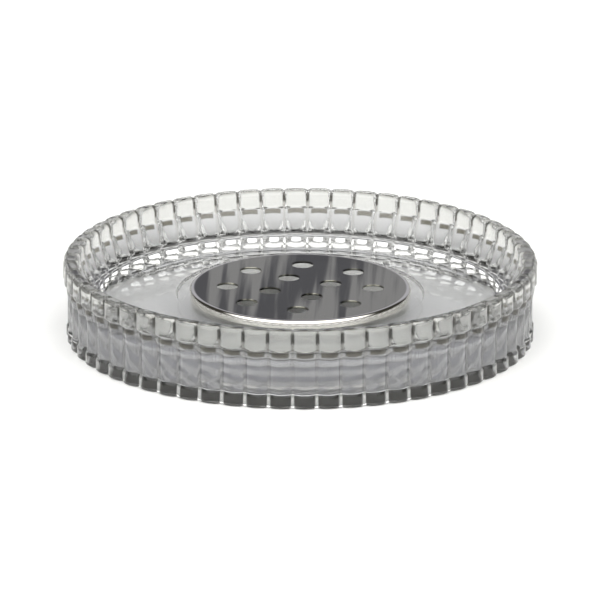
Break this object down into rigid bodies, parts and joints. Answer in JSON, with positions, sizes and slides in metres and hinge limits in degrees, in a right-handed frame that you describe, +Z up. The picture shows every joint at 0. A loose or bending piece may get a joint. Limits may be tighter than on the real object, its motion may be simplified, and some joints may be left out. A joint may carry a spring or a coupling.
{
  "type": "flower frog",
  "caption": "Round clear-glass dish with a ribbed wall and a loose perforated steel disc that holds flower stems upright in its centre.",
  "frame": {"origin": "centre of the dish's foot, on the surface that it stands on", "axes": "+Z up along the dish's centre line, +X and +Y across the dish, +X through one hole of the outer ring"},
  "size_m": [0.1358, 0.1358, 0.0233],
  "materials": {
    "clear_glass": "clear pressed glass, polished",
    "polished_steel": "mirror-polished stainless steel"
  },
  "bodies": {
    "dish": {"glass_dish": "clear_glass"},
    "disc": {"steel_disc": "polished_steel"}
  },
  "joints": [
    {"name": "disc_lift", "type": "slide", "parent": "dish", "child": "disc", "axis": [0, 0, 1], "range_m": [0, 0.04]}
  ]
}
